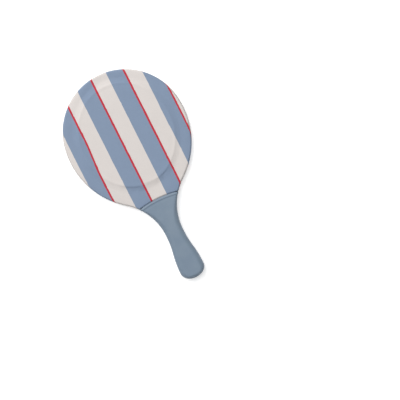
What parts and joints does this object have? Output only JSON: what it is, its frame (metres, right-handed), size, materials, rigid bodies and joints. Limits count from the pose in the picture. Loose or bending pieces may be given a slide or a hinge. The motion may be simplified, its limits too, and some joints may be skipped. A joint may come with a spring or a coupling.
{
  "type": "beach tennis racket",
  "caption": "Beach tennis racket: round head with soft striped skins over a raised oval pad on both faces, and a flared soft rubber grip with a beaded mouth.",
  "frame": {"origin": "centre of the overall outline, on the flat surface that the racket lies on: Z = 0 is the underside of the grip", "axes": "+Y runs along the racket towards the top of the head, +X across the face, +Z out of the front face"},
  "size_m": [0.2138, 0.38, 0.02],
  "materials": {
    "blade_plastic": "satin",
    "pad_foam": "matte",
    "liner_foam": "matte",
    "cheek_foam": "matte",
    "printed_neoprene": "matte",
    "grip_rubber": "matte"
  },
  "bodies": {
    "root": {"core_frame": "blade_plastic", "front_pad": "pad_foam", "back_pad": "pad_foam", "front_liner": "liner_foam", "back_liner": "liner_foam", "front_cheek": "cheek_foam", "back_cheek": "cheek_foam", "front_skin": "printed_neoprene", "back_skin": "printed_neoprene", "grip_sleeve": "grip_rubber"}
  },
  "joints": []
}
